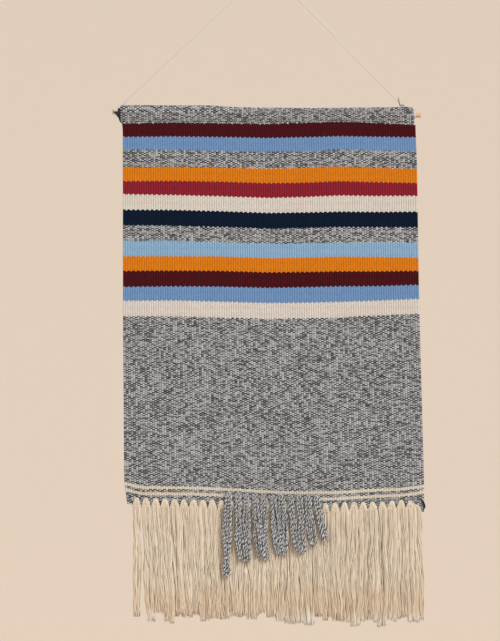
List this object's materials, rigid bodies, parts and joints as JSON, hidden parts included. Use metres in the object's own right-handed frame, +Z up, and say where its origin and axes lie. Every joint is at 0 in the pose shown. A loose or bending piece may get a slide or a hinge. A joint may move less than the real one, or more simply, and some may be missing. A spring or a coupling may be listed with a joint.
{
  "type": "tapestry wall hanging",
  "caption": "Striped woven tapestry with an overlaid tassel fringe, sleeved on a wooden dowel and hung by a cord from a nail.",
  "frame": {"origin": "the point where the centrelines of the cord's two straight legs meet, over the nail", "axes": "+Z up, +X to the right as seen from the front, the front of the cloth faces -Y"},
  "size_m": [0.6375, 0.0286, 1.3397],
  "materials": {
    "dowel_wood": "bare sanded wood",
    "cord_cotton": "twisted cotton",
    "weft_grey": "marled black and white yarn, woven",
    "weft_maroon": "woven yarn",
    "weft_blue": "woven yarn",
    "weft_light_blue": "woven yarn",
    "weft_orange": "woven yarn",
    "weft_crimson": "woven yarn",
    "weft_cream": "woven yarn",
    "weft_navy": "woven yarn",
    "tassel_cream": "loose cotton yarn",
    "tassel_grey": "loose marled yarn",
    "sewing_thread": "sewn thread",
    "thread_black": "wound thread",
    "thread_brown": "stiff thread"
  },
  "bodies": {
    "hanger": {"dowel": "dowel_wood", "hanging_cord": "cord_cotton", "cord_knot_left": "cord_cotton", "cord_knot_right": "cord_cotton"},
    "cloth": {"rod_sleeve": "weft_grey", "sleeve_stitches": "sewing_thread", "weft_grey": "weft_grey", "weft_maroon": "weft_maroon", "weft_blue": "weft_blue", "weft_orange": "weft_orange", "weft_crimson": "weft_crimson", "weft_cream": "weft_cream", "weft_navy": "weft_navy", "weft_light_blue": "weft_light_blue", "fringe_knots": "tassel_cream", "grey_knots": "tassel_grey", "corner_lashing": "thread_black", "corner_thread": "thread_brown", "corner_tail": "thread_black"},
    "cream_tassel_01": {"cream_tassel_01": "tassel_cream"},
    "cream_tassel_02": {"cream_tassel_02": "tassel_cream"},
    "cream_tassel_03": {"cream_tassel_03": "tassel_cream"},
    "cream_tassel_04": {"cream_tassel_04": "tassel_cream"},
    "cream_tassel_05": {"cream_tassel_05": "tassel_cream"},
    "cream_tassel_06": {"cream_tassel_06": "tassel_cream"},
    "cream_tassel_07": {"cream_tassel_07": "tassel_cream"},
    "cream_tassel_08": {"cream_tassel_08": "tassel_cream"},
    "cream_tassel_09": {"cream_tassel_09": "tassel_cream"},
    "cream_tassel_10": {"cream_tassel_10": "tassel_cream"},
    "cream_tassel_11": {"cream_tassel_11": "tassel_cream"},
    "cream_tassel_12": {"cream_tassel_12": "tassel_cream"},
    "cream_tassel_13": {"cream_tassel_13": "tassel_cream"},
    "cream_tassel_14": {"cream_tassel_14": "tassel_cream"},
    "cream_tassel_15": {"cream_tassel_15": "tassel_cream"},
    "cream_tassel_16": {"cream_tassel_16": "tassel_cream"},
    "cream_tassel_17": {"cream_tassel_17": "tassel_cream"},
    "cream_tassel_18": {"cream_tassel_18": "tassel_cream"},
    "cream_tassel_19": {"cream_tassel_19": "tassel_cream"},
    "cream_tassel_20": {"cream_tassel_20": "tassel_cream"},
    "cream_tassel_21": {"cream_tassel_21": "tassel_cream"},
    "cream_tassel_22": {"cream_tassel_22": "tassel_cream"},
    "cream_tassel_23": {"cream_tassel_23": "tassel_cream"},
    "cream_tassel_24": {"cream_tassel_24": "tassel_cream"},
    "cream_tassel_25": {"cream_tassel_25": "tassel_cream"},
    "cream_tassel_26": {"cream_tassel_26": "tassel_cream"},
    "cream_tassel_27": {"cream_tassel_27": "tassel_cream"},
    "cream_tassel_28": {"cream_tassel_28": "tassel_cream"},
    "cream_tassel_29": {"cream_tassel_29": "tassel_cream"},
    "cream_tassel_30": {"cream_tassel_30": "tassel_cream"},
    "grey_tassel_01": {"grey_tassel_01": "tassel_grey"},
    "grey_tassel_02": {"grey_tassel_02": "tassel_grey"},
    "grey_tassel_03": {"grey_tassel_03": "tassel_grey"},
    "grey_tassel_04": {"grey_tassel_04": "tassel_grey"},
    "grey_tassel_05": {"grey_tassel_05": "tassel_grey"},
    "grey_tassel_06": {"grey_tassel_06": "tassel_grey"},
    "grey_tassel_07": {"grey_tassel_07": "tassel_grey"},
    "grey_tassel_08": {"grey_tassel_08": "tassel_grey"},
    "grey_tassel_09": {"grey_tassel_09": "tassel_grey"},
    "grey_tassel_10": {"grey_tassel_10": "tassel_grey"},
    "grey_tassel_11": {"grey_tassel_11": "tassel_grey"}
  },
  "joints": [
    {"name": "cloth_swing", "type": "hinge", "parent": "hanger", "child": "cloth", "pos_m": [-0.0025, -0.01, -0.2976], "axis": [-0.9999, 0, 0.0127], "range_deg": [0, 20]},
    {"name": "cream_tassel_01_swing", "type": "hinge", "parent": "cloth", "child": "cream_tassel_01", "pos_m": [-0.2665, -0.0115, -1.10682], "axis": [-1, 0, 0], "range_deg": [-60, 60]},
    {"name": "cream_tassel_02_swing", "type": "hinge", "parent": "cloth", "child": "cream_tassel_02", "pos_m": [-0.2473, -0.0115, -1.10736], "axis": [-1, 0, 0], "range_deg": [-60, 60]},
    {"name": "cream_tassel_03_swing", "type": "hinge", "parent": "cloth", "child": "cream_tassel_03", "pos_m": [-0.2281, -0.0115, -1.10789], "axis": [-1, 0, 0], "range_deg": [-60, 60]},
    {"name": "cream_tassel_04_swing", "type": "hinge", "parent": "cloth", "child": "cream_tassel_04", "pos_m": [-0.2089, -0.0115, -1.10843], "axis": [-1, 0, 0], "range_deg": [-60, 60]},
    {"name": "cream_tassel_05_swing", "type": "hinge", "parent": "cloth", "child": "cream_tassel_05", "pos_m": [-0.1897, -0.0115, -1.10897], "axis": [-1, 0, 0], "range_deg": [-60, 60]},
    {"name": "cream_tassel_06_swing", "type": "hinge", "parent": "cloth", "child": "cream_tassel_06", "pos_m": [-0.1705, -0.0115, -1.1095], "axis": [-1, 0, 0], "range_deg": [-60, 60]},
    {"name": "cream_tassel_07_swing", "type": "hinge", "parent": "cloth", "child": "cream_tassel_07", "pos_m": [-0.1513, -0.0115, -1.11004], "axis": [-1, 0, 0], "range_deg": [-60, 60]},
    {"name": "cream_tassel_08_swing", "type": "hinge", "parent": "cloth", "child": "cream_tassel_08", "pos_m": [-0.1321, -0.0115, -1.11058], "axis": [-1, 0, 0], "range_deg": [-60, 60]},
    {"name": "cream_tassel_09_swing", "type": "hinge", "parent": "cloth", "child": "cream_tassel_09", "pos_m": [-0.1129, -0.0115, -1.11112], "axis": [-1, 0, 0], "range_deg": [-60, 60]},
    {"name": "cream_tassel_10_swing", "type": "hinge", "parent": "cloth", "child": "cream_tassel_10", "pos_m": [-0.0937, -0.0115, -1.11165], "axis": [-1, 0, 0], "range_deg": [-60, 0]},
    {"name": "cream_tassel_11_swing", "type": "hinge", "parent": "cloth", "child": "cream_tassel_11", "pos_m": [-0.0745, -0.0115, -1.11219], "axis": [-1, 0, 0], "range_deg": [-60, 0]},
    {"name": "cream_tassel_12_swing", "type": "hinge", "parent": "cloth", "child": "cream_tassel_12", "pos_m": [-0.0553, -0.0115, -1.11273], "axis": [-1, 0, 0], "range_deg": [-60, 0]},
    {"name": "cream_tassel_13_swing", "type": "hinge", "parent": "cloth", "child": "cream_tassel_13", "pos_m": [-0.0361, -0.0115, -1.11326], "axis": [-1, 0, 0], "range_deg": [-60, 0]},
    {"name": "cream_tassel_14_swing", "type": "hinge", "parent": "cloth", "child": "cream_tassel_14", "pos_m": [-0.0169, -0.0115, -1.1138], "axis": [-1, 0, 0], "range_deg": [-60, 0]},
    {"name": "cream_tassel_15_swing", "type": "hinge", "parent": "cloth", "child": "cream_tassel_15", "pos_m": [0.0023, -0.0115, -1.11402], "axis": [-1, 0, 0], "range_deg": [-60, 0]},
    {"name": "cream_tassel_16_swing", "type": "hinge", "parent": "cloth", "child": "cream_tassel_16", "pos_m": [0.0215, -0.0115, -1.11396], "axis": [-1, 0, 0], "range_deg": [-60, 0]},
    {"name": "cream_tassel_17_swing", "type": "hinge", "parent": "cloth", "child": "cream_tassel_17", "pos_m": [0.0407, -0.0115, -1.11377], "axis": [-1, 0, 0], "range_deg": [-60, 0]},
    {"name": "cream_tassel_18_swing", "type": "hinge", "parent": "cloth", "child": "cream_tassel_18", "pos_m": [0.0599, -0.0115, -1.11359], "axis": [-1, 0, 0], "range_deg": [-60, 0]},
    {"name": "cream_tassel_19_swing", "type": "hinge", "parent": "cloth", "child": "cream_tassel_19", "pos_m": [0.0791, -0.0115, -1.11341], "axis": [-1, 0, 0], "range_deg": [-60, 0]},
    {"name": "cream_tassel_20_swing", "type": "hinge", "parent": "cloth", "child": "cream_tassel_20", "pos_m": [0.0983, -0.0115, -1.11323], "axis": [-1, 0, 0], "range_deg": [-60, 0]},
    {"name": "cream_tassel_21_swing", "type": "hinge", "parent": "cloth", "child": "cream_tassel_21", "pos_m": [0.1175, -0.0115, -1.11305], "axis": [-1, 0, 0], "range_deg": [-60, 0]},
    {"name": "cream_tassel_22_swing", "type": "hinge", "parent": "cloth", "child": "cream_tassel_22", "pos_m": [0.1367, -0.0115, -1.11287], "axis": [-1, 0, 0], "range_deg": [-60, 60]},
    {"name": "cream_tassel_23_swing", "type": "hinge", "parent": "cloth", "child": "cream_tassel_23", "pos_m": [0.1559, -0.0115, -1.11268], "axis": [-1, 0, 0], "range_deg": [-60, 60]},
    {"name": "cream_tassel_24_swing", "type": "hinge", "parent": "cloth", "child": "cream_tassel_24", "pos_m": [0.1751, -0.0115, -1.1125], "axis": [-1, 0, 0], "range_deg": [-60, 60]},
    {"name": "cream_tassel_25_swing", "type": "hinge", "parent": "cloth", "child": "cream_tassel_25", "pos_m": [0.1943, -0.0115, -1.11232], "axis": [-1, 0, 0], "range_deg": [-60, 60]},
    {"name": "cream_tassel_26_swing", "type": "hinge", "parent": "cloth", "child": "cream_tassel_26", "pos_m": [0.2135, -0.0115, -1.11214], "axis": [-1, 0, 0], "range_deg": [-60, 60]},
    {"name": "cream_tassel_27_swing", "type": "hinge", "parent": "cloth", "child": "cream_tassel_27", "pos_m": [0.2327, -0.0115, -1.11196], "axis": [-1, 0, 0], "range_deg": [-60, 60]},
    {"name": "cream_tassel_28_swing", "type": "hinge", "parent": "cloth", "child": "cream_tassel_28", "pos_m": [0.2519, -0.0115, -1.11178], "axis": [-1, 0, 0], "range_deg": [-60, 60]},
    {"name": "cream_tassel_29_swing", "type": "hinge", "parent": "cloth", "child": "cream_tassel_29", "pos_m": [0.2711, -0.0115, -1.11159], "axis": [-1, 0, 0], "range_deg": [-60, 60]},
    {"name": "cream_tassel_30_swing", "type": "hinge", "parent": "cloth", "child": "cream_tassel_30", "pos_m": [0.2903, -0.0115, -1.11141], "axis": [-1, 0, 0], "range_deg": [-60, 60]},
    {"name": "grey_tassel_01_swing", "type": "hinge", "parent": "cloth", "child": "grey_tassel_01", "pos_m": [-0.0795, -0.0204, -1.08683], "axis": [-1, 0, 0], "range_deg": [0, 75]},
    {"name": "grey_tassel_02_swing", "type": "hinge", "parent": "cloth", "child": "grey_tassel_02", "pos_m": [-0.0616, -0.0204, -1.08763], "axis": [-1, 0, 0], "range_deg": [0, 75]},
    {"name": "grey_tassel_03_swing", "type": "hinge", "parent": "cloth", "child": "grey_tassel_03", "pos_m": [-0.0437, -0.0204, -1.08844], "axis": [-1, 0, 0], "range_deg": [0, 75]},
    {"name": "grey_tassel_04_swing", "type": "hinge", "parent": "cloth", "child": "grey_tassel_04", "pos_m": [-0.0258, -0.0204, -1.08924], "axis": [-1, 0, 0], "range_deg": [0, 75]},
    {"name": "grey_tassel_05_swing", "type": "hinge", "parent": "cloth", "child": "grey_tassel_05", "pos_m": [-0.0079, -0.0204, -1.09005], "axis": [-1, 0, 0], "range_deg": [0, 75]},
    {"name": "grey_tassel_06_swing", "type": "hinge", "parent": "cloth", "child": "grey_tassel_06", "pos_m": [0.01, -0.0204, -1.09015], "axis": [-1, 0, 0], "range_deg": [0, 75]},
    {"name": "grey_tassel_07_swing", "type": "hinge", "parent": "cloth", "child": "grey_tassel_07", "pos_m": [0.0279, -0.0204, -1.0897], "axis": [-1, 0, 0], "range_deg": [0, 75]},
    {"name": "grey_tassel_08_swing", "type": "hinge", "parent": "cloth", "child": "grey_tassel_08", "pos_m": [0.0458, -0.0204, -1.08924], "axis": [-1, 0, 0], "range_deg": [0, 75]},
    {"name": "grey_tassel_09_swing", "type": "hinge", "parent": "cloth", "child": "grey_tassel_09", "pos_m": [0.0637, -0.0204, -1.08879], "axis": [-1, 0, 0], "range_deg": [0, 75]},
    {"name": "grey_tassel_10_swing", "type": "hinge", "parent": "cloth", "child": "grey_tassel_10", "pos_m": [0.0816, -0.0204, -1.08834], "axis": [-1, 0, 0], "range_deg": [0, 75]},
    {"name": "grey_tassel_11_swing", "type": "hinge", "parent": "cloth", "child": "grey_tassel_11", "pos_m": [0.0995, -0.0204, -1.08789], "axis": [-1, 0, 0], "range_deg": [0, 75]}
  ]
}
